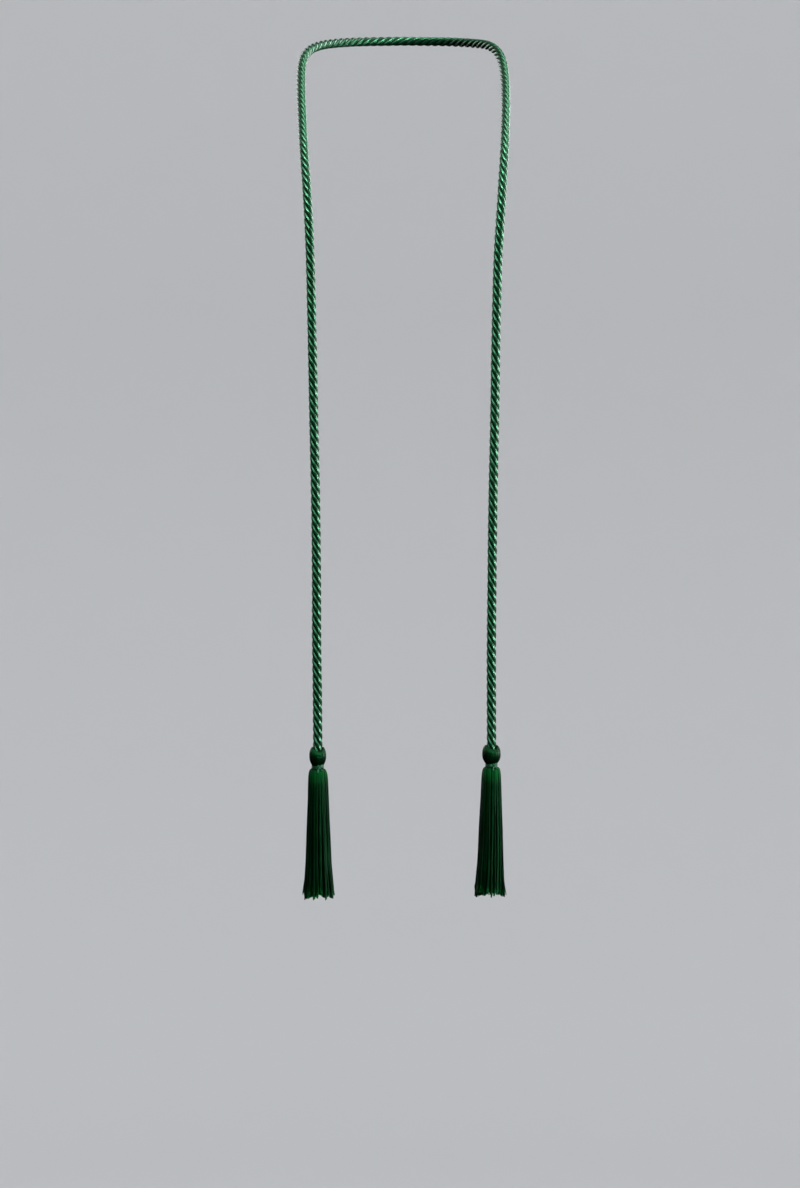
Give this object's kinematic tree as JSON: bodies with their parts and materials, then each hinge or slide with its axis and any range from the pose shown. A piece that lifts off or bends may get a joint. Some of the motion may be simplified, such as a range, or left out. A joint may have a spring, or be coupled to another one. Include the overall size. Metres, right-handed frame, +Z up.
{
  "type": "honor cord",
  "caption": "Twisted cord worn round the neck, hanging down the front with a bound yarn tassel on each end.",
  "frame": {"origin": "where the cord's inner side rests on the back of the neck, on the middle of its length", "axes": "+Z up, -Y to the wearer's front, +X to the viewer's right when the wearer is seen from the front"},
  "size_m": [0.1712, 0.1995, 0.7001],
  "materials": {
    "cord": "glossy twisted rayon, dark green",
    "yarn": "glossy loose rayon yarn, dark green",
    "thread": "glossy wound rayon thread, dark green"
  },
  "bodies": {
    "root": {"cord": "cord", "left_head": "yarn", "left_tie": "thread", "left_skirt": "yarn", "right_head": "yarn", "right_tie": "thread", "right_skirt": "yarn"}
  },
  "joints": []
}
